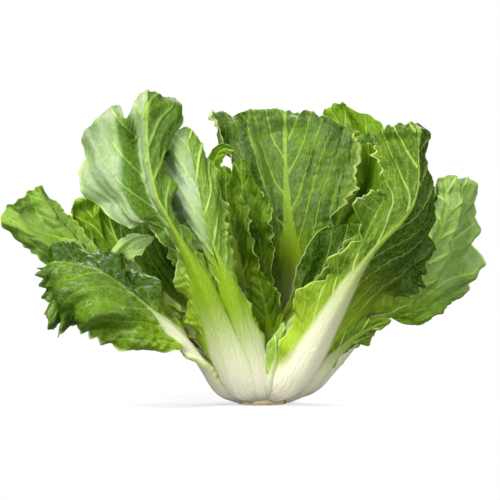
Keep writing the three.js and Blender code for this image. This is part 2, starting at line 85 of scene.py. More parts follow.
LEAVES = [
    leaf("front_left_tall",
         [(-9, -17, 6), (-18, -33, 12), (-25, -45, 30), (-36, -57, 68), (-46, -65, 95), (-57, -71, 118),
          (-70, -76, 143), (-78, -73, 160), (-84, -63, 196), (-84, -52, 236)],
         under=((-0.4, -0.7, -0.6), (-0.25, -0.95, 0), (-0.1, -1, 0.1)),
         wide=((15, 19, 20, 17, 14, 13, 15, 24, 32, 30), (15, 20, 30, 26, 18, 18, 32, 57, 57, 43)),
         cup=((50, 50, 30), (50, 30, 20)), fold=((10, 40, 30), (10, 10, 10)),
         pleat=(0, 3, 0), ruffle=3, bow=(-0.07, 0.03), seed=3, notch=(17, 4, 16),
         crease=(13, 7, 14)),
    leaf("front_right_folded",
         [(10, -16, 6), (20, -32, 12), (32, -46, 30), (50, -60, 66), (67, -70, 97), (83, -75, 119),
          (100, -76, 137), (110, -74, 152), (114, -69, 174), (113, -60, 213)],
         under=((0.3, -0.7, -0.6), (0.15, -1, 0), (0.1, -1, 0.2)),
         wide=((15, 20, 28, 44, 64, 72, 70, 58, 38, 20), (15, 20, 24, 30, 18, 17, 30, 30, 29, 48)),
         cup=((50, 40, 30), (50, 30, 40)), fold=((10, 25, 50), (10, 15, 5)),
         pleat=(2, 3, 0), ruffle=4, bow=(0.14, -0.03), seed=9),
    leaf("front_bud",
         [(3, -17, 6), (5, -31, 13), (8, -39, 26), (12, -43, 44), (16, -43, 64)],
         under=((0.1, -0.7, -0.7), (0.1, -1, 0), (0.1, -1, 0.1)),
         wide=((9, 9, 8, 8, 8, 4), (9, 9, 8, 8, 8, 4)),
         cup=((50, 30, 30), (50, 30, 30)), fold=((10, 5, 0), (10, 5, 0)),
         pleat=(0, 3, 0), ruffle=1.5, bow=(0.1, 0.1), seed=28),
    leaf("left_low",
         [(-16, -8, 6), (-30, -18, 12), (-40, -30, 27), (-54, -44, 48), (-74, -56, 67), (-94, -62, 84),
          (-112, -64, 98), (-131, -62, 106), (-150, -58, 108), (-168, -54, 104)],
         under=((-0.6, -0.3, -0.7), (-0.4, 0.1, -0.9), (-0.5, 0.5, -0.6)),
         wide=((12, 9, 8, 10, 26, 44, 50, 51, 50, 44), (13, 18, 20, 20, 22, 24, 26, 28, 28, 24)),
         cup=((50, -60, -60), (50, 30, 0)), fold=((10, -30, -30), (10, 10, 0)),
         pleat=(3, 3, 0.2), ruffle=6, bow=(-0.08, 0.08), seed=15,
         crease=(-21, 9, 8)),
    leaf("right_outer",
         [(18, 2, 7), (38, 2, 13), (52, 2, 28), (78, 3, 60), (103, 4, 86), (121, 5, 106),
          (134, 7, 128), (139, 9, 150), (137, 12, 172)],
         under=((0.7, -0.5, -0.6), (0.5, -0.8, -0.2), (0.3, -0.95, 0)),
         wide=((14, 18, 20, 20, 28, 66, 64, 40, 36, 24), (14, 18, 18, 20, 30, 38, 38, 30, 22, 14)),
         cup=((50, 30, 30), (50, 30, 30)), fold=((10, 5, 5), (10, 5, 5)),
         pleat=(4, 4, 0.5), ruffle=5, bow=(-0.03, 0.04), seed=11),
    leaf("right_low",
         [(18, -8, 6), (33, -15, 13), (43, -23, 23), (53, -30, 37), (66, -37, 50), (80, -41, 59),
          (96, -43, 66)],
         under=((0.5, -0.5, -0.7), (0.6, -0.7, -0.4), (0.4, -0.8, -0.5)),
         wide=((13, 14, 13, 13, 13, 8), (13, 15, 17, 20, 18, 9)),
         cup=((50, 30, 30), (50, 30, 30)), fold=((10, 5, 5), (10, 5, 5)),
         pleat=(1, 3, 0), ruffle=2.5, bow=(0.1, 0.1), seed=13),
    leaf("left_far",
         [(-18, -2, 8), (-32, -6, 16), (-46, -10, 36), (-70, -12, 60), (-92, -10, 80), (-114, -4, 97),
          (-131, 2, 114), (-147, 6, 132), (-160, 6, 149), (-170, 4, 165)],
         under=((-0.6, 0.1, -0.7), (-0.3, 0.8, -0.5), (-0.2, 0.95, -0.3)),
         wide=((13, 16, 18, 18, 18, 20, 24, 32, 38, 30), (13, 16, 18, 16, 12, 9, 6, 5, 5, 5)),
         cup=((50, 0, -20), (50, 30, 30)), fold=((10, 0, -10), (10, 30, 30)),
         pleat=(4, 3, 0.2), ruffle=5, bow=(-0.05, 0.05), seed=17),
    leaf("front_left_inner",
         [(-2, -17, 7), (-4, -32, 15), (-10, -43, 40), (-22, -54, 80), (-33, -61, 112), (-41, -61, 142),
          (-47, -52, 170), (-56, -36, 209)],
         under=((-0.1, -0.8, -0.6), (0.1, -1, 0), (0.15, -1, 0.1)),
         wide=((13, 16, 17, 15, 17, 21, 25, 26, 20, 11), (13, 16, 17, 15, 15, 21, 29, 30, 25, 16)),
         cup=((50, 60, 40), (50, 50, 40)), fold=((10, 20, 15), (10, 15, 10)),
         pleat=(0, 2, 0.94), ruffle=2.5, bow=(0.04, -0.03), seed=5,
         crease=(2, 5, 5)),
    leaf("back_tall",
         [(4, 15, 12), (9, 26, 24), (18, 34, 50), (21, 42, 88), (21, 50, 125), (19, 58, 158),
          (18, 68, 192), (18, 80, 222)],
         under=((0.1, 0.8, -0.5), (0, 1, 0), (0, 1, 0.1)),
         wide=((14, 16, 16, 18, 24, 28, 34, 48, 62, 60), (14, 16, 16, 18, 26, 42, 58, 64, 62, 46)),
         cup=((50, 55, 20), (50, 40, 25)), fold=((10, 15, 5), (10, 10, 5)),
         pleat=(3, 4, 0.5), ruffle=4, bow=(-0.02, 0.02), seed=7),
    leaf("back_right_tall",
         [(12, 17, 12), (20, 28, 24), (28, 38, 52), (42, 54, 98), (56, 65, 136), (67, 72, 160),
          (69, 78, 184), (61, 87, 208), (50, 93, 228)],
         under=((0.3, 0.8, -0.5), (0.2, 1, 0), (0.2, 1, 0.1)),
         wide=((13, 13, 15, 22, 26, 26), (13, 13, 14, 24, 36, 33)),
         cup=((50, 30, 20), (50, 30, 20)), fold=((10, 5, 5), (10, 5, 5)),
         pleat=(3, 3, 0.5), ruffle=4, bow=(0.05, 0.1), seed=8),
    leaf("left_back",
         [(-16, 6, 8), (-30, 12, 18), (-46, 18, 42), (-80, 28, 80), (-106, 36, 106), (-124, 42, 131),
          (-137, 46, 157)],
         under=((-0.5, 0.4, -0.7), (-0.4, 0.7, -0.5), (-0.4, 0.8, -0.3)),
         wide=((13, 13, 13, 24, 34, 28), (13, 13, 13, 22, 26, 22)),
         cup=((50, 20, 20), (50, 20, 20)), fold=((10, 5, 0), (10, 5, 0)),
         pleat=(2, 3, 1), ruffle=4, bow=(0.08, 0.08), seed=19),
    leaf("left_mid",
         [(-14, 2, 12), (-26, 4, 24), (-46, 6, 50), (-76, 10, 80), (-99, 14, 104), (-112, 18, 128),
          (-120, 20, 154)],
         under=((-0.5, 0.4, -0.6), (-0.2, 0.9, -0.3), (-0.2, 0.9, -0.3)),
         wide=((12, 12, 12, 22, 26, 20), (12, 12, 14, 34, 42, 30)),
         cup=((50, 30, 30), (50, 30, 30)), fold=((10, 5, 0), (10, 5, 0)),
         pleat=(3, 4, 0), ruffle=5, bow=(0.08, 0.08), seed=21),
    leaf("left_frill",
         [(-14, -6, 14), (-28, -10, 28), (-50, -16, 52), (-78, -20, 78), (-98, -26, 98), (-104, -32, 110),
          (-95, -36, 120), (-79, -38, 125)],
         under=((-0.5, 0.4, -0.6), (-0.3, 0.8, -0.4), (0, 1, -0.2)),
         wide=((10, 10, 9, 7, 7, 8, 9, 8), (10, 9, 8, 7, 7, 8, 9, 8)),
         cup=((50, 30, 30), (50, 30, 30)), fold=((10, 5, 0), (10, 5, 0)),
         pleat=(1, 3, 0), ruffle=4, bow=(0.02, 0.02), seed=22),
    leaf("inner_right",
         [(6, 8, 20), (14, 10, 45), (34, 12, 76), (54, 16, 102), (70, 20, 122), (82, 26, 136)],
         under=((0.4, 0.8, -0.3), (0.3, 0.9, -0.2), (0.3, 0.9, -0.2)),
         wide=((10, 10, 12, 20, 26, 18), (10, 10, 11, 18, 22, 16)),
         cup=((50, 30, 30), (50, 30, 30)), fold=((10, 5, 0), (10, 5, 0)),
         pleat=(1, 3, 0), ruffle=3, bow=(0.08, 0.08), seed=23),
    leaf("inner_front",
         [(-2, 4, 20), (-2, 8, 46), (-3, 12, 76), (-6, 12, 106), (-11, 14, 136), (-15, 18, 164),
          (-16, 22, 186)],
         under=((0, 1, -0.2), (0, 1, 0), (0.1, 1, 0.1)),
         wide=((9, 10, 14, 20, 22, 13), (9, 10, 11, 16, 20, 11)),
         cup=((50, 30, 30), (50, 30, 30)), fold=((10, 5, 0), (10, 5, 0)),
         pleat=(1, 3, 0), ruffle=3, bow=(0.1, 0.1), seed=25),
    leaf("inner_curl",
         [(-4, 8, 20), (-8, 12, 50), (-18, 18, 96), (-30, 24, 140), (-35, 26, 168), (-36, 26, 182),
          (-29, 24, 191), (-18, 22, 188)],
         under=((0, 1, -0.2), (0, 1, 0), (0.1, 1, 0.1)),
         wide=((8, 8, 8, 8, 6, 5), (8, 8, 8, 8, 6, 5)),
         cup=((50, 30, 30), (50, 30, 30)), fold=((10, 5, 0), (10, 5, 0)),
         pleat=(0, 3, 0), ruffle=2, bow=(0.02, 0.02), seed=26),
    leaf("inner_small",
         [(4, -4, 18), (6, -12, 36), (5, -18, 60), (0, -22, 84), (-6, -24, 106)],
         under=((0, 1, -0.2), (0, 1, 0), (0.1, 1, 0.1)),
         wide=((7, 8, 10, 12, 12, 7), (7, 8, 10, 12, 12, 7)),
         cup=((50, 30, 30), (50, 30, 30)), fold=((10, 5, 0), (10, 5, 0)),
         pleat=(0, 3, 0), ruffle=3, bow=(0.1, 0.1), seed=27),
    leaf("heart_left",
         [(-7, 0, 20), (-10, -3, 50), (-14, -7, 84), (-20, -8, 116), (-26, -4, 148), (-28, 2, 182)],
         under=((-0.2, 1, -0.2), (-0.1, 1, -0.1), (-0.1, 1, 0)),
         wide=((9, 9, 11, 15, 15, 8), (9, 9, 11, 15, 15, 8)),
         cup=((50, 30, 30), (50, 30, 30)), fold=((10, 5, 0), (10, 5, 0)),
         pleat=(1, 3, 0), ruffle=3, bow=(0.1, 0.1), seed=29),
    leaf("inner_left_front",
         [(-5, -8, 18), (-14, -21, 44), (-31, -33, 80), (-46, -40, 112), (-57, -41, 142), (-64, -37, 168),
          (-68, -31, 192)],
         under=((-0.3, -0.7, -0.5), (-0.3, -0.95, 0), (-0.2, -1, 0.1)),
         wide=((9, 10, 13, 18, 20, 12), (9, 10, 14, 22, 26, 15)),
         cup=((50, 40, 30), (50, 40, 30)), fold=((10, 10, 5), (10, 10, 5)),
         pleat=(2, 3, 0), ruffle=3, bow=(0.08, 0.08), seed=31),
    leaf("inner_right_front",
         [(8, -6, 18), (20, -16, 42), (43, -26, 74), (69, -32, 101), (87, -34, 126), (94, -33, 148)],
         under=((0.4, -0.6, -0.5), (0.3, -0.9, -0.2), (0.2, -1, 0.1)),
         wide=((9, 10, 13, 22, 24, 14), (9, 10, 12, 16, 18, 11)),
         cup=((50, 40, 30), (50, 40, 30)), fold=((10, 10, 5), (10, 10, 5)),
         pleat=(2, 3, 0.5), ruffle=3, bow=(0.08, 0.08), seed=33),
]

# Leaves behind: compass angle, reach from the stem, height of the tip, half width of the blade.
BACK_LEAVES = [
    (20, 122, 138, 42), (44, 126, 150, 38), (68, 106, 176, 38), (94, 120, 172, 38), (119, 102, 176, 38),
    (146, 124, 142, 38), (30, 104, 128, 30), (82, 84, 182, 32), (110, 72, 160, 30), (140, 78, 172, 31),
]

# How a leaf's surface looks where it isn't plain.
#   fine: mesh fineness; stalk: thickness of the stalk; taper: how far the midrib narrows above the stalk
#   white, pale: how far up the white of the stalk and the pale foot of the blade reach
#   tone_and_shade (with painted shade): 0 bright to deep green, set deeper on sides and flanks that stand in shade;
#       bloom (with painted sheen): waxy bloom and a painted sheen where the lamp would glance off; bold: strength of
#       veins and midrib on the blade
#   veins: slope, bend and spacing of the side veins; gather: folds along them; puff: blade between them
#   wrinkle: cross wrinkles along the stalk; frill, tooth: waves and teeth of the margin
#   facing: which flanks of the folds get painted shade, its sign picking those turned away from the light. Two
#       values in brackets are for the first and the second side.
PLAIN = dict(skin="green", facing=0, fine=0.65, stalk=1, taper=0, white=0.25, pale=0.3, tone_and_shade=0.9, bloom_and_sheen=0, bold=1,
             veins=(1.7, 0, 21), gather=2.5, puff=1.6, wrinkle=0.5, frill=2.2, tooth=1.8)
LOOKS = {
    # the deep tone on the first side is painted shade on the half turned from the light, the sheen on the second
    # side a painted sheen
    "front_left_tall": dict(skin="satin", facing=-1, fine=1, taper=0.5, white=0.24, tone_and_shade=(1.8, 0.35),
                            bloom_and_sheen=(0, 0.5), bold=0.8, veins=(1.6, 0, 24), puff=1.2, wrinkle=1, frill=1.2,
                            tooth=1.4),
    # the very deep tone on the first side is painted shade on the folded half turned from the light
    "front_right_folded": dict(skin="matt", fine=1, taper=0.45, white=0.45, pale=(0.22, 0.24), tone_and_shade=(3.2, 0.95),
                               bold=0.7, veins=(2.1, 0.1, 26), gather=3, puff=0.9, wrinkle=0.7, frill=2.4,
                               tooth=4.6),
    "left_low": dict(skin="glossy", fine=1, stalk=1.3, taper=0.8, white=0.55, pale=0.4, tone_and_shade=(0.9, 1.45),
                     bloom_and_sheen=(0.02, 0), bold=0.3, veins=(1.2, 0, 20), gather=4.2, puff=2.2, wrinkle=1.2, frill=2.6,
                     tooth=6),
    # its sheen is painted light on a leaf that stands in the shadow of the folded leaf in front
    "right_outer": dict(facing=0.2, fine=1, white=0.4, tone_and_shade=0.3, bloom_and_sheen=0.2, veins=(1.5, 0, 20), gather=4.2, frill=2),
    "right_low": dict(fine=0.8, stalk=1.2, white=0.5, tone_and_shade=0.7, puff=1.2, frill=2, tooth=2),
    "left_far": dict(facing=0.4, fine=1, white=0.3, tone_and_shade=0, bloom_and_sheen=0.12, veins=(1.3, 0, 20), gather=4, puff=2.6,
                     frill=2.4, tooth=2.4),
    "front_left_inner": dict(skin="satin", fine=1, taper=0.5, white=0.24, tone_and_shade=(0.9, 0.3), bloom_and_sheen=(0, 0.5),
                             bold=0.8, veins=(2.2, 0, 24), puff=1.2, wrinkle=2.2, frill=1.5, tooth=1.2),
    "back_tall": dict(facing=0.6, fine=1, stalk=1.9, taper=0.3, white=0.3, bloom_and_sheen=0.07, bold=0.8,
                      veins=(2.4, 0.25, 30), gather=4, puff=2.4, wrinkle=1.6, tooth=2.4),
    "back_right_tall": dict(fine=1, white=0.3, tone_and_shade=0.45, veins=(2.4, 0.2, 26), tooth=2.4),
    "left_back": dict(fine=0.8, stalk=0.7, white=0.3, tone_and_shade=0.3, puff=1, frill=2, tooth=2),
    # the very deep tone on the second side is painted shade for the dark hollow under the tall front leaf
    "left_mid": dict(fine=1, stalk=0.9, white=0.5, tone_and_shade=(0.7, 3), veins=(3.5, 0, 30), gather=3.5, puff=0.9,
                     frill=2.6, tooth=2.4),
    "left_frill": dict(skin="heart", fine=0.8, stalk=0.6, white=0.3, tone_and_shade=0.2, bloom_and_sheen=0.3, puff=1.4, frill=3.2,
                       tooth=2.6),
    "inner_right": dict(fine=0.8, stalk=0.5, white=0.3, tone_and_shade=2.5, puff=0.6, frill=1.4, tooth=1.4),
    "inner_front": dict(fine=0.8, stalk=0.35, white=0.3, bold=0.6, puff=2.6, frill=2.6, tooth=2.4),
    "inner_curl": dict(fine=0.7, stalk=0.5, white=0.3, tone_and_shade=0.7, puff=1, frill=1.2, tooth=1.4),
    "inner_small": dict(fine=0.7, stalk=0.5, white=0.3, tone_and_shade=0.7, bold=0.45, puff=3, frill=3, tooth=3),
    "front_bud": dict(skin="heart", fine=0.7, stalk=0.45, white=0.5, tone_and_shade=0.5, puff=0.8, frill=1.4, tooth=1.6),
    "heart_left": dict(fine=0.7, stalk=0.5, white=0.3, tone_and_shade=0.7, bold=0.6, puff=3, frill=3, tooth=3),
}

# Skins: the deep and the bright green of the blade and its tone towards the foot, then subsurface weight, specular
# level, roughness, and how far the under face goes to a green of its own.
SKINS = {
    "green": dict(deep=(0.014, 0.050, 0.0004), bright=(0.12, 0.235, 0.003), low=(0.24, 0.36, 0.008),
                  glow=0.2, gloss=0.08, polish=0.34, below=0.15),
    "satin": dict(deep=(0.03, 0.09, 0.0005), bright=(0.13, 0.23, 0.006), low=(0.22, 0.34, 0.006),
                  glow=0.2, gloss=0.22, polish=0.36, below=0.1),
    # matt: its very deep green shows on the folded leaf's turned half as painted shade
    "matt": dict(deep=(0.008, 0.034, 0.0003), bright=(0.12, 0.22, 0.003), low=(0.24, 0.36, 0.008),
                 glow=0.2, gloss=0.1, polish=0.3, below=0.04),
    "glossy": dict(deep=(0.016, 0.052, 0.0002), bright=(0.11, 0.22, 0.001), low=(0.24, 0.36, 0.008),
                   glow=0.2, gloss=0.2, polish=0.26, below=0.05),
    "heart": dict(deep=(0.10, 0.22, 0.012), bright=(0.26, 0.40, 0.04), low=(0.50, 0.58, 0.14),
                  glow=0.25, gloss=0.5, polish=0.42, below=0.3),
}
FOOT_GREEN = (0.50, 0.54, 0.30)  # the blade beside the foot of the stalk
UNDER_GREEN = (0.18, 0.32, 0.015)
# painted sheen with some waxy bloom: pale grey-green laid where the lamp's glancing reflection would be
PAINTED_SHEEN = (0.48, 0.55, 0.46)
VEIN_INNER, VEIN_UNDER = (0.24, 0.37, 0.03), (0.33, 0.46, 0.10)
STALK_WHITE, STALK_GREEN = (0.66, 0.64, 0.49), (0.20, 0.32, 0.006)
TIP_GREEN = (0.24, 0.36, 0.05)  # the midrib near the tip
EDGE_GREEN = (0.45, 0.55, 0.16)
SPECK_GREEN = (0.7, 0.85, 0.1)
CUT_PALE, CUT_BROWN = (0.74, 0.60, 0.42), (0.56, 0.38, 0.20)
CUT_RING, CUT_FLECK = (0.80, 0.70, 0.52), (0.36, 0.22, 0.10)
FLESH_PALE, FLESH_DULL = (0.80, 0.79, 0.62), (0.68, 0.62, 0.38)
FLOOR_TONES = (0.93, 0.93, 0.93), (0.97, 0.97, 0.97)

# Lamps: place in metres, side of the square in metres and power in watts.
LAMPS = {
    "key": ((-1.1, -1.4, 2.1), 1.1, 108),
    "side": ((1.4, -1.0, 0.9), 1.0, 22),
    "low": ((0.9, -1.2, 0.12), 0.7, 6),
    "fill": ((-1.2, -1.3, 0.35), 1.2, 17),
    "front": ((-0.3, -2.4, 0.4), 0.8, 13),
    "back": ((0.2, 1.6, 1.5), 1.2, 45),
}
LIT_POINT = (0, 0, 0.11)
AMBIENT, WHITE_SEEN = 0.05, 1.0  # strength of the surroundings as light, and as the camera sees them
FLOOR_RINGS = (0.0001, 0.1, 0.2, 0.4, 0.62)  # radii in metres
FLOOR_SPOKES = 96

# Camera, in metres
FRAME_WIDTH = 0.375  # width of the picture where the head stands
DISTANCE = 2.5
SENSOR = 36
AIM = (-0.009, 0, 0.1155)
LOOK_DOWN = 1.5  # degrees


def back_leaf(row, i):
    """One of the leaves behind, which lean out and back from the stem."""
    angle, reach, height, blade = row
    turn = math.radians(angle)

    def at(r, z):
        return (r * math.cos(turn), r * math.sin(turn), z)

    foot = [(17, 7), (32, 13), (46, 28)] if reach > 100 else [(13, 13), (24, 24), (34, 48)]
    rise = [(r * reach, z * height) for r, z in ((0.58, 0.42), (0.78, 0.64), (0.92, 0.84), (1, 1))]
    wide = (13, 14, 18, 0.8 * blade, blade, 0.6 * blade)
    return leaf(f"back_{i + 1}", [at(*p) for p in foot + rise], under=(at(0.7, -0.7), at(1, -0.1), at(1, 0.1)),
                wide=(wide, wide), cup=((50, 40, 25), (50, 40, 25)), fold=((10, 5, 0), (10, 5, 0)),
                pleat=(3, 3, i), ruffle=4, bow=(0.06, 0.06), seed=50 + i)


def look_of(name):
    """How the leaf of this name looks: the plain values, and what differs from them."""
    return {**PLAIN, **LOOKS.get(name, {})}


# ---- small tools for curves and noise ----
def smooth(a, b, x):
    """From 0 at a to 1 at b, with soft ends."""
    t = np.clip((np.asarray(x, float) - a) / (b - a), 0, 1)
    return t * t * (3 - 2 * t)


def unit(v):
    """Vectors of length 1."""
    return v / np.maximum(np.linalg.norm(v, axis=-1, keepdims=True), 1e-9)


def catmull(p0, p1, p2, p3, t):
    """The point at t between p1 and p2 of a Catmull-Rom curve."""
    return 0.5 * (2 * p1 + (p2 - p0) * t + (2 * p0 - 5 * p1 + 4 * p2 - p3) * t ** 2
                  + (3 * p1 - p0 - 3 * p2 + p3) * t ** 3)


def spine_curve(points, samples=241, per_span=40):
    """Evenly spaced points along the smooth curve through the stations, and its length."""
    p = np.array(points, float)
    ends = np.vstack([2 * p[0] - p[1], p, 2 * p[-1] - p[-2]])
    t = np.linspace(0, 1, per_span, endpoint=False)[:, None]
    spans = [catmull(*ends[i:i + 4], t) for i in range(len(p) - 1)]
    q = np.vstack(spans + [p[-1:]])
    run = np.concatenate([[0], np.cumsum(np.linalg.norm(np.diff(q, axis=0), axis=1))])
    even = np.linspace(0, run[-1], samples)
    return np.stack([np.interp(even, run, q[:, k]) for k in range(3)], 1), run[-1]


def keyed(keys, u):
    """Smooth value between three keys at the foot, the middle and the tip."""
    foot, middle, tip = (np.array(k, float) for k in keys)
    low, high = smooth(0, 0.5, u), smooth(0.5, 1, u)
    if foot.ndim:
        low, high = low[..., None], high[..., None]
    return foot + (middle - foot) * low + (tip - middle) * high


def half_width(keys, u):
    """The half width of one side of a leaf, a smooth curve through its evenly spaced keys."""
    w = np.array(keys, float)
    ends = np.concatenate([w[:1], w, w[-1:]])
    x = np.clip(u, 0, 1) * (len(w) - 1)
    i = np.minimum(x.astype(int), len(w) - 2)
    return catmull(ends[i], ends[i + 1], ends[i + 2], ends[i + 3], x - i)


def chance(seed, k):
    """A fixed pseudo-random number between 0 and 1."""
    x = np.sin(seed * 12.9898 + k * 78.233) * 43758.5453
    return x - np.floor(x)


def waves(seed, count, low, high, x, y):
    """A gentle random relief: a few sine waves in all directions, about 1 deep."""
    total = 0
    for i in range(count):
        angle = 2 * math.pi * chance(seed, 3 * i + 1)
        rate = low + (high - low) * chance(seed, 3 * i + 2)
        total = total + np.sin(rate * (math.cos(angle) * x + math.sin(angle) * y)
                               + 2 * math.pi * chance(seed, 3 * i + 3))
    return total / math.sqrt(count / 2)


def lattice(seed, i, j):
    """A fixed random number for each cell (i, j)."""
    return chance(seed, i * 17.31 + j * 5.77)


def noise(seed, x, y):
    """Smooth value noise between -1 and 1 with cells of size 1."""
    i, j = np.floor(x), np.floor(y)
    a, b = smooth(0, 1, x - i), smooth(0, 1, y - j)
    low = lattice(seed, i, j) * (1 - a) + lattice(seed, i + 1, j) * a
    high = lattice(seed, i, j + 1) * (1 - a) + lattice(seed, i + 1, j + 1) * a
    return 2 * (low * (1 - b) + high * b) - 1


def cell_edge(seed, x, y, jitter=0.32):
    """Distance from the border between irregular cells, 0 on the border and about 0.5 in the middle of a cell."""
    i, j = np.floor(x), np.floor(y)
    near = np.full(np.shape(x), 9.0)
    second = near.copy()
    for di in (-1, 0, 1):
        for dj in (-1, 0, 1):
            ci, cj = i + di, j + dj
            px = ci + 0.5 + jitter * 0.5 * (2 * lattice(seed, ci, cj) - 1)
            py = cj + 0.5 + jitter * (2 * lattice(seed + 5, ci, cj) - 1)
            d = np.hypot(x - px, y - py)
            second = np.minimum(second, np.maximum(near, d))
            near = np.minimum(near, d)
    return second - near


def bump(x, place, spread):
    """A single soft bump, 1 high."""
    return np.exp(-((x - place) / spread) ** 2)


def teeth(x):
    """A row of pointed teeth of width and height 1."""
    return (1 - 2 * np.abs(x - np.floor(x) - 0.5)) ** 0.8


# ---- the leaf surface ----
def rib_profile(u, t, share, taper):
    """How much of the stalk or midrib there is at u along the leaf and t across it: 1 in the middle, 0 beside."""
    reach = share * np.interp(u, STATIONS, STALK_REACH) * (1 - taper * smooth(0.42, 0.6, u))
    return np.clip(1 - (t / reach) ** 2, 0, 1) ** 1.4


def grow_leaf(row, look):
    """The grid of a leaf: points of its inner and under faces in metres, and what the material needs to know.

    u and v run from foot to tip and from edge to edge of the grid, x is how far out the point is on its side, and
    s and t are its place along and across the leaf in millimetres."""
    seed = row["seed"]
    spine, length = spine_curve(row["spine"])
    rows = int(look["fine"] * ROWS_PER_MM * length)
    columns = int(look["fine"] * COLUMNS) // 2 * 2
    even = np.linspace(-1, 1, columns + 1)
    closer = 0.55 * even + 0.45 * np.sin(even * math.pi / 2)  # finer towards the edges
    u, v = np.meshgrid(np.linspace(0, 1, rows + 1), closer, indexing="ij")
    x, sign, second = np.abs(v), np.sign(v), v > 0

    def by_side(f):
        return np.where(second, f(1), f(0))

    def grain(kind, along, across=0.0):
        shift, cell_along, cell_across = GRAIN[kind]
        return noise(seed + shift, along / cell_along, across / cell_across)

    # outline: lobes, then teeth along the sides and round the tip
    width = by_side(lambda k: half_width(row["wide"][k], u))
    run = u * length + SIDE_SHIFT * second
    width = width * (1 + 0.07 * grain("lobes", run) * smooth(0.25, 0.5, u))
    tooth = teeth(run / TOOTH_PITCH + 0.7 * grain("tooth_place", run)) * (0.6 + 0.5 * grain("tooth_depth", run))
    t = v * width + sign * look["tooth"] * tooth * smooth(0.12, 0.28, u) * x ** 7
    off_rib = np.abs(t)
    nick = look["tooth"] * teeth(t / TOOTH_PITCH + 0.7 * grain("tip_place", t)) * smooth(0.9, 1, u) ** 3
    dip = 3 * smooth(0.8, 1, u) * (0.5 + 0.5 * grain("tip_line", t))
    place, spread, depth = row["notch"]
    notch = depth * bump(t, place, spread) * smooth(0.8, 1, u)
    bow = by_side(lambda k: row["bow"][k]) * smooth(0.35, 1, u) + 0.04 * smooth(0.9, 1, u)
    along = np.clip(u - bow * v * v, 0, 1) - (nick + dip) / length
    along = np.clip(along - notch / length, 0, 1)
    s = along * length

    # frame along the midrib
    grid = np.linspace(0, 1, len(spine))

    def on_spine(values):
        return np.stack([np.interp(along, grid, values[:, k]) for k in range(3)], -1)

    point, tangent = on_spine(spine), unit(on_spine(unit(np.gradient(spine, axis=0))))
    under = keyed(row["under"], along)
    inner = -unit(under - (under * tangent).sum(-1, keepdims=True) * tangent)
    across = np.cross(tangent, inner)

    # the two halves folded and cupped about the midrib
    fold = np.radians(by_side(lambda k: keyed(row["fold"][k], u)))
    cup = np.radians(by_side(lambda k: keyed(row["cup"][k], u)))
    cup = np.where(np.abs(cup) < 1e-3, 1e-3, cup)
    turn = fold + cup * x
    radius = off_rib / np.maximum(x, 1e-6) / cup
    reach = radius * (np.sin(turn) - np.sin(fold))
    lift = radius * (np.cos(fold) - np.cos(turn))
    normal = np.cos(turn)[..., None] * inner - (sign * np.sin(turn))[..., None] * across

    # pleats and a crease, as in the CAD solid
    depth, count, phase = row["pleat"]
    fold_wave = np.arcsin(0.97 * np.cos(math.pi * count * sign * x ** 0.85 + phase)) / 1.33
    folds = depth * smooth(0.3, 0.7, u) * smooth(0, 0.3, x) * fold_wave
    place, spread, depth = row["crease"]
    fading = 1 - 0.6 * smooth(0.88, 1, u)
    folds = folds + depth * smooth(0.35, 0.7, u) * fading * bump(t, place, spread)

    # slow waves and the fine frill of the margin, where the blade is wide enough to be loose
    loose = smooth(2, 18, width)
    rim = smooth(0.35, 1, x) + 0.6 * smooth(0.75, 1, u) * (1 - smooth(0.35, 1, x))
    slow = waves(seed, 7, 0.1, 0.22, s, v * width)
    rise = folds + 0.8 * row["ruffle"] * loose * rim * smooth(0.05, 0.35, u) * slow
    edge = np.maximum(smooth(0.62, 1, x), smooth(0.86, 1, u)) * smooth(0.12, 0.35, u)
    quick = 0.8 * waves(seed + FRILL_WAVES, 7, 0.3, 0.62, s, 0.4 * t) + 0.4 * grain("frill", s, t)
    rise = rise + look["frill"] * loose * edge ** 1.4 * quick

    # side veins fanning out from the midrib; the lower ones first run along the stalk
    warp = 7.0 * grain("warp", s, t) + 1.2 * grain("jog", s, t)
    slope, bend, pitch = look["veins"]
    rising = s - 0.31 * length * (1 - np.exp(-s / (0.3 * length)))
    vein = (rising - slope * off_rib * (off_rib / 25) ** bend + warp) / pitch + 0.5 * second + 40
    off_vein = np.abs(vein - np.floor(vein) - 0.5)  # 0.5 on a side vein
    step = off_rib / CELL_STEP + 0.3 * grain("steps", s, t)
    cell = cell_edge(seed + PUFF_CELLS, 2 * vein, step + 40 * second)

    # the blade gathered in folds along the veins and puffed up between them
    rib = rib_profile(u, t, look["stalk"], look["taper"])
    blade = (1 - smooth(0.0, 0.5, rib)) * smooth(0.1, 0.4, u)
    swing = np.sin(math.pi * vein + 1.5 * grain("sway", s, t))
    gather = swing * np.abs(swing) ** 0.3 * smooth(0.1, 0.8, x) * smooth(0.2, 0.5, u)
    gather = look["gather"] * loose * gather
    dome = 1 - (1 - np.clip(cell / 0.5, 0, 1)) ** 2
    groove = bump(off_vein, 0.5, 0.055) * (1 - 0.6 * x)
    strength = look["puff"] * blade * (0.75 + 0.5 * grain("vigour", s, t)) * (1 - 0.4 * smooth(0.7, 1, x))
    rise = rise + strength * (dome - 0.6 - 0.5 * groove + 0.2 * grain("crinkle", s, t)) + gather

    # cross wrinkles where the blade is drawn in along the stalk, and fine lines along its foot
    drawn = smooth(0.12, 0.3, u) * (1 - smooth(0.65, 0.9, u)) * smooth(0.3, 0.8, x) * (1 - smooth(0.0, 0.6, rib))
    rise = rise + look["wrinkle"] * drawn * (1 - 2 * np.abs(grain("wrinkle", s - off_rib / 6, t)))
    lines = 0.3 * (1 - smooth(0.3, 0.5, u)) * (1 - rib) * smooth(0.05, 0.15, u)
    rise = rise + lines * grain("fluting", s, t)

    # slope of the big folds; the flanks turned away from the light get painted shade from it
    flank = np.gradient(folds + gather, axis=1) / np.maximum(np.gradient(t, axis=1), 1e-3)

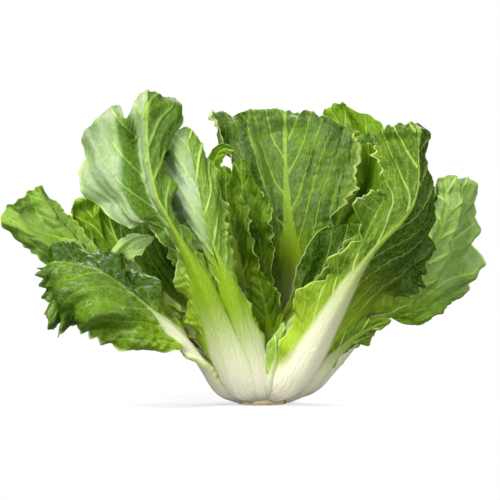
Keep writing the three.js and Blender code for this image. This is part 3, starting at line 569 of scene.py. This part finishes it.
    # faces either side of the middle surface
    point = point + (sign * reach)[..., None] * across + lift[..., None] * inner + rise[..., None] * normal
    facing = unit(np.cross(np.gradient(point, axis=1), np.gradient(point, axis=0)))
    thick = BLADE_THICK + (EDGE_THICK - BLADE_THICK) * smooth(0.75, 1, x)
    thick = thick + min(look["stalk"], THICKEST) * np.interp(u, STATIONS, STALK_DEPTH) * rib
    swell = 0.9 * groove * blade
    ridge = 0.1 * np.cos(2 * math.pi * t / RIDGE_PITCH + 2 * grain("ridges", s, t))
    ridge = ridge * rib * (1 - smooth(0.2, 0.6, u))
    top = point + (INNER_SHARE * thick + 0.5 * ridge)[..., None] * facing
    bottom = point - ((1 - INNER_SHARE) * thick + swell + ridge)[..., None] * facing
    facts = dict(side=v, flank=flank, along=u, across=x, rib=rib, vein=vein, step=step, cell=cell)
    return top * MM, bottom * MM, facts


def quads(block):
    """Corner indices of every cell of a grid of vertex numbers."""
    return np.stack([block[:-1, :-1], block[:-1, 1:], block[1:, 1:], block[1:, :-1]], -1).reshape(-1, 4)


def closed_round(around, along):
    """Vertex numbers of a grid whose last row joins its first."""
    block = np.arange(around * along).reshape(around, along)
    return np.vstack([block, block[:1]])


def mesh_object(name, points, faces, material, facts=None):
    """A smooth-shaded mesh object from arrays of points and four-cornered faces."""
    mesh = bpy.data.meshes.new(name)
    mesh.vertices.add(len(points))
    mesh.vertices.foreach_set("co", np.ascontiguousarray(points, dtype=np.float32).ravel())
    mesh.loops.add(faces.size)
    mesh.loops.foreach_set("vertex_index", np.ascontiguousarray(faces, dtype=np.int32).ravel())
    mesh.polygons.add(len(faces))
    mesh.polygons.foreach_set("loop_start", np.arange(0, faces.size, 4, dtype=np.int32))
    mesh.update(calc_edges=True)
    mesh.validate()
    for key, values in (facts or {}).items():
        attribute = mesh.attributes.new(key, "FLOAT", "POINT")
        attribute.data.foreach_set("value", np.ascontiguousarray(values, dtype=np.float32).ravel())
    mesh.shade_smooth()
    piece = bpy.data.objects.new(name, mesh)
    bpy.context.scene.collection.objects.link(piece)
    piece.data.materials.append(material)
    return piece


def make_leaf(row, look, material):
    """A closed leaf: the inner face, the under face and the wall round the edge between them."""
    top, bottom, facts = grow_leaf(row, look)
    shape = top.shape[:2]
    count = shape[0] * shape[1]
    block = np.arange(count).reshape(shape)
    rim = np.concatenate([block[0, :-1], block[:-1, -1], block[-1, :0:-1], block[:0:-1, 0]])
    after = np.roll(rim, -1)
    wall = np.stack([rim, rim + count, after + count, after], -1)
    faces = np.vstack([quads(block), quads(block)[:, ::-1] + count, wall])
    points = np.vstack([top.reshape(-1, 3), bottom.reshape(-1, 3)])

    # what the material reads at each point of both faces
    facts = {key: np.concatenate([value.ravel(), value.ravel()]) for key, value in facts.items()}
    facts["under"] = np.repeat([0.0, 1.0], count)
    second = facts.pop("side") > 0
    # painted shade: fold flanks turned away from the light get a deeper tone and lose their sheen
    shaded_flank = smooth(0.15, 0.8, look["facing"] * facts.pop("flank"))
    for key in ("tone_and_shade", "bloom_and_sheen", "pale"):
        sides = look[key] if isinstance(look[key], tuple) else (look[key], look[key])
        facts[key] = np.where(second, sides[1], sides[0])
    facts["tone_and_shade"] = facts["tone_and_shade"] + 1.4 * shaded_flank
    facts["bloom_and_sheen"] = facts["bloom_and_sheen"] * (1 - shaded_flank) * smooth(0.5, 0.72, facts["along"])
    facts["bold"] = 1 - (1 - look["bold"]) * smooth(0.42, 0.6, facts["along"])
    facts["white"] = np.full(2 * count, look["white"])
    piece = mesh_object(row["name"], points, faces, material, facts)
    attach(piece, "root")
    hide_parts("leaf_" + row["name"])


def make_stem(material):
    """The short stem: a flat, slightly dished cut face and a dome that carries the leaf feet."""
    around, up = 120, 40
    profile = np.array(CORE_PROFILE)
    run = np.concatenate([[0], np.cumsum(np.hypot(*np.diff(profile, axis=0).T))])
    even = np.linspace(0, run[-1], up)
    radius, height = np.interp(even, run, profile[:, 0]), np.interp(even, run, profile[:, 1])
    turn = np.linspace(0, 2 * math.pi, around, endpoint=False)
    a, r = np.meshgrid(turn, radius, indexing="ij")
    z = np.broadcast_to(height, a.shape)
    lumps = 0.35 * np.sin(7 * a + 0.4) + 0.25 * np.sin(13 * a + 1.9)
    r = r + lumps * smooth(2, 12, r) * smooth(CORE_HEIGHT, 10, z)
    points = np.stack([r * np.cos(a), r * np.sin(a), z], -1) * MM
    piece = mesh_object("cut_stem", points.reshape(-1, 3), quads(closed_round(around, up)), material)
    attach(piece, "root")
    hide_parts("stem_core")


# ---- materials ----
class Nodes:
    """Shorthand for wiring one material's nodes."""

    def __init__(self, name):
        self.material = bpy.data.materials.new(name)
        self.material.use_nodes = True
        self.tree = self.material.node_tree
        self.tree.nodes.clear()

    def add(self, kind, inputs=None, **settings):
        node = self.tree.nodes.new("ShaderNode" + kind)
        for key, value in settings.items():
            setattr(node, key, value)
        for key, value in (inputs or {}).items():
            self.put(node.inputs[key], value)
        return node

    def put(self, socket, value):
        if isinstance(value, bpy.types.NodeSocket):
            self.tree.links.new(value, socket)
        else:
            socket.default_value = value

    def fact(self, name):
        return self.add("Attribute", attribute_name=name).outputs["Fac"]

    def place(self):
        return self.add("TexCoord").outputs["Object"]

    def math(self, operation, a, b=0.0):
        return self.add("Math", {0: a, 1: b}, operation=operation).outputs[0]

    def times(self, a, b):
        return self.math("MULTIPLY", a, b)

    def plus(self, a, b):
        return self.math("ADD", a, b)

    def vector(self, x, y):
        return self.add("CombineXYZ", {"X": x, "Y": y}).outputs[0]

    def length(self, vector):
        return self.add("VectorMath", {0: vector}, operation="LENGTH").outputs["Value"]

    def ramp(self, value, low, high, bottom=0.0, top=1.0):
        """Smoothly from bottom to top while the value goes from low to high."""
        return self.add("MapRange", {"Value": value, "From Min": low, "From Max": high, "To Min": bottom,
                                     "To Max": top}, interpolation_type="SMOOTHSTEP").outputs["Result"]

    def blend(self, factor, a, b):
        node = self.add("Mix", data_type="RGBA")
        for index, value in ((0, factor), (6, a), (7, b)):
            self.put(node.inputs[index], (*value, 1) if isinstance(value, tuple) else value)
        return node.outputs[2]

    def noise(self, where, scale, detail):
        return self.add("TexNoise", {"Vector": where, "Scale": scale, "Detail": detail}).outputs[0]

    def bump(self, height, strength):
        return self.add("Bump", {"Strength": strength, "Distance": 0.0008, "Height": height}).outputs[0]

    def finish(self, **inputs):
        skin = self.add("BsdfPrincipled", {key.replace("_", " "): value for key, value in inputs.items()})
        self.add("OutputMaterial", {"Surface": skin.outputs[0]})
        return self.material


def leaf_material(name, deep, bright, low, glow, gloss, polish, below):
    """Leaf skin: stalk and midrib, side veins and their net, blade with painted shade and painted sheen, margin; the
    under face is rougher.
    """
    n = Nodes("leaf_" + name)
    along, across, rib, vein = n.fact("along"), n.fact("across"), n.fact("rib"), n.fact("vein")
    step, cell, under, tone_and_shade = n.fact("step"), n.fact("cell"), n.fact("under"), n.fact("tone_and_shade")
    bold = n.fact("bold")
    whiteness = n.math("DIVIDE", along, n.fact("white"))
    paleness = n.math("DIVIDE", along, n.fact("pale"))
    where = n.place()
    cloud = n.noise(where, 45, 3)
    speck = n.noise(where, 420, 2)

    # fine net of the smallest veins
    net_at = n.vector(n.times(vein, 4.0), n.times(step, 3.4))
    net = n.add("TexVoronoi", {"Vector": net_at, "Scale": 1.0}, feature="DISTANCE_TO_EDGE").outputs["Distance"]
    net = n.ramp(net, 0.0, 0.14, 1.0, 0.0)

    # blade: bright to deep green by the tone fact, which also carries painted shade
    shade = n.plus(n.times(tone_and_shade, 0.75), n.times(n.math("SUBTRACT", cloud, 0.5), 1.1))
    blade = n.blend(shade, bright, deep)
    blade = n.blend(n.ramp(along, 0.2, 0.6, 1.0, 0.0), blade, low)
    blade = n.blend(n.ramp(paleness, 0.2, 0.8, 1.0, 0.0), blade, FOOT_GREEN)
    blade = n.blend(under, blade, n.blend(below, blade, UNDER_GREEN))
    # painted sheen with some waxy bloom, pale where the bloom fact is set
    sheen = n.times(n.fact("bloom_and_sheen"), n.ramp(cloud, 0.35, 0.65, 0.55, 1.0))
    blade = n.blend(sheen, blade, PAINTED_SHEEN)

    # veins: side veins, the borders of the puffed cells and the net, weaker in deep tones, so dimmed in the painted
    # shade too
    off_vein = n.math("ABSOLUTE", n.math("SUBTRACT", n.math("FRACT", vein), 0.5))
    off_vein = n.plus(off_vein, n.ramp(across, 0.1, 0.9, 0.03, -0.005))
    side = n.times(n.ramp(off_vein, 0.46, 0.488), n.ramp(across, 0.55, 1.0, 1.0, 0.25))
    borders = n.times(n.ramp(cell, 0.0, 0.12, 1.0, 0.0), 0.4)
    veins = n.math("MAXIMUM", n.math("MAXIMUM", side, borders), n.times(net, 0.3))
    veins = n.times(veins, n.ramp(along, 0.08, 0.3))
    veins = n.times(veins, n.ramp(tone_and_shade, 0.9, 1.8, 1.0, 0.5))
    veins = n.times(veins, bold)
    colour = n.blend(n.times(veins, 0.9), blade, n.blend(under, VEIN_INNER, VEIN_UNDER))

    # stalk and midrib: white at the foot, yellow-green above
    stalk = n.blend(n.ramp(whiteness, 0.3, 1.6), STALK_WHITE, STALK_GREEN)
    stalk = n.blend(n.ramp(along, 0.45, 0.9), stalk, TIP_GREEN)
    spread = n.ramp(along, 0.1, 0.45, 0.02, 0.25)
    colour = n.blend(n.times(n.ramp(rib, spread, 0.7), bold), colour, stalk)

    # the thin pale margin, and specks all over
    colour = n.blend(n.ramp(across, 0.965, 0.995, 0.0, 0.7), colour, EDGE_GREEN)
    colour = n.blend(n.times(n.math("SUBTRACT", speck, 0.45), 0.25), colour, SPECK_GREEN)

    rough = n.plus(n.times(under, 0.1), n.ramp(speck, 0.3, 0.7, polish, polish + 0.06))
    relief = n.bump(n.plus(n.times(net, -0.5), n.times(speck, 0.5)), 0.5)
    return n.finish(Base_Color=colour, Roughness=rough, Normal=relief, Specular_IOR_Level=gloss,
                    Subsurface_Weight=glow, Subsurface_Radius=(0.5, 1.0, 0.06), Subsurface_Scale=0.003)


def stem_material():
    """Cut stem: pale flesh, browned in rings and blotches on the cut face."""
    n = Nodes("stem")
    where = n.place()
    parts = n.add("SeparateXYZ", {0: where}).outputs
    radius = n.length(n.vector(parts["X"], parts["Y"]))
    patches = n.noise(where, 160, 4)
    fleck = n.noise(where, 900, 3)
    rings = n.math("SINE", n.plus(n.times(radius, 900.0), n.times(patches, 5.0)))
    cut = n.blend(n.ramp(patches, 0.35, 0.7), CUT_PALE, CUT_BROWN)
    cut = n.blend(n.ramp(rings, 0.0, 1.0, 0.0, 0.35), cut, CUT_RING)
    cut = n.blend(n.ramp(fleck, 0.55, 0.8, 0.0, 0.4), cut, CUT_FLECK)
    flesh = n.blend(n.ramp(patches, 0.4, 0.7), FLESH_PALE, FLESH_DULL)
    colour = n.blend(n.ramp(parts["Z"], 0.0015, 0.005), cut, flesh)
    return n.finish(Base_Color=colour, Roughness=0.6, Normal=n.bump(fleck, 0.6), Subsurface_Weight=0.15,
                    Subsurface_Radius=(1.0, 0.7, 0.4), Subsurface_Scale=0.002)


def floor_material():
    """Pale studio floor that fades out into the white surroundings."""
    n = Nodes("studio_floor")
    where = n.place()
    colour = n.blend(n.noise(where, 8, 2), *FLOOR_TONES)
    return n.finish(Base_Color=colour, Roughness=0.7, Alpha=n.ramp(n.length(where), 0.02, 0.24, 0.35, 0.0))


# ---- build ----
skins = {name: leaf_material(name, **values) for name, values in SKINS.items()}
make_stem(stem_material())
for entry in LEAVES + [back_leaf(row, i) for i, row in enumerate(BACK_LEAVES)]:
    entry_look = look_of(entry["name"])
    make_leaf(entry, entry_look, skins[entry_look["skin"]])

# ---- studio ----
spokes = np.linspace(0, 2 * math.pi, FLOOR_SPOKES, endpoint=False)
floor_points = np.array([[(r * math.cos(a), r * math.sin(a), 0.0) for r in FLOOR_RINGS] for a in spokes])
floor_faces = quads(closed_round(FLOOR_SPOKES, len(FLOOR_RINGS)))[:, ::-1]
floor = mesh_object("studio_floor", floor_points.reshape(-1, 3), floor_faces, floor_material())


def area_light(name, place, size, power):
    """A white square lamp that shines on the head."""
    light = bpy.data.lights.new(name, "AREA")
    light.size = size
    light.energy = power
    lamp = bpy.data.objects.new(name, light)
    lamp.location = place
    lamp.rotation_euler = (Vector(LIT_POINT) - Vector(place)).to_track_quat("-Z", "Y").to_euler()
    bpy.context.scene.collection.objects.link(lamp)


for lamp_name, settings in LAMPS.items():
    area_light(lamp_name, *settings)

scene = bpy.context.scene
scene.view_settings.view_transform = "Standard"
world = bpy.data.worlds.new("surroundings")
scene.world = world
world.use_nodes = True
tree = world.node_tree
tree.nodes.clear()


def background(strength):
    """White surroundings of the given strength."""
    node = tree.nodes.new("ShaderNodeBackground")
    node.inputs["Color"].default_value = (1, 1, 1, 1)
    node.inputs["Strength"].default_value = strength
    return node.outputs[0]


seen = tree.nodes.new("ShaderNodeLightPath")
pick = tree.nodes.new("ShaderNodeMixShader")
out = tree.nodes.new("ShaderNodeOutputWorld")
tree.links.new(seen.outputs["Is Camera Ray"], pick.inputs[0])
tree.links.new(background(AMBIENT), pick.inputs[1])
tree.links.new(background(WHITE_SEEN), pick.inputs[2])
tree.links.new(pick.outputs[0], out.inputs[0])

camera = bpy.data.cameras.new("camera")
camera.sensor_width = SENSOR
camera.lens = SENSOR / FRAME_WIDTH * DISTANCE
camera.clip_start, camera.clip_end = 0.1, 20
eye = bpy.data.objects.new("camera", camera)
aim, tilt = Vector(AIM), math.radians(LOOK_DOWN)
eye.location = aim + DISTANCE * Vector((0, -math.cos(tilt), math.sin(tilt)))
eye.rotation_euler = (aim - eye.location).to_track_quat("-Z", "Y").to_euler()
scene.collection.objects.link(eye)
scene.camera = eye
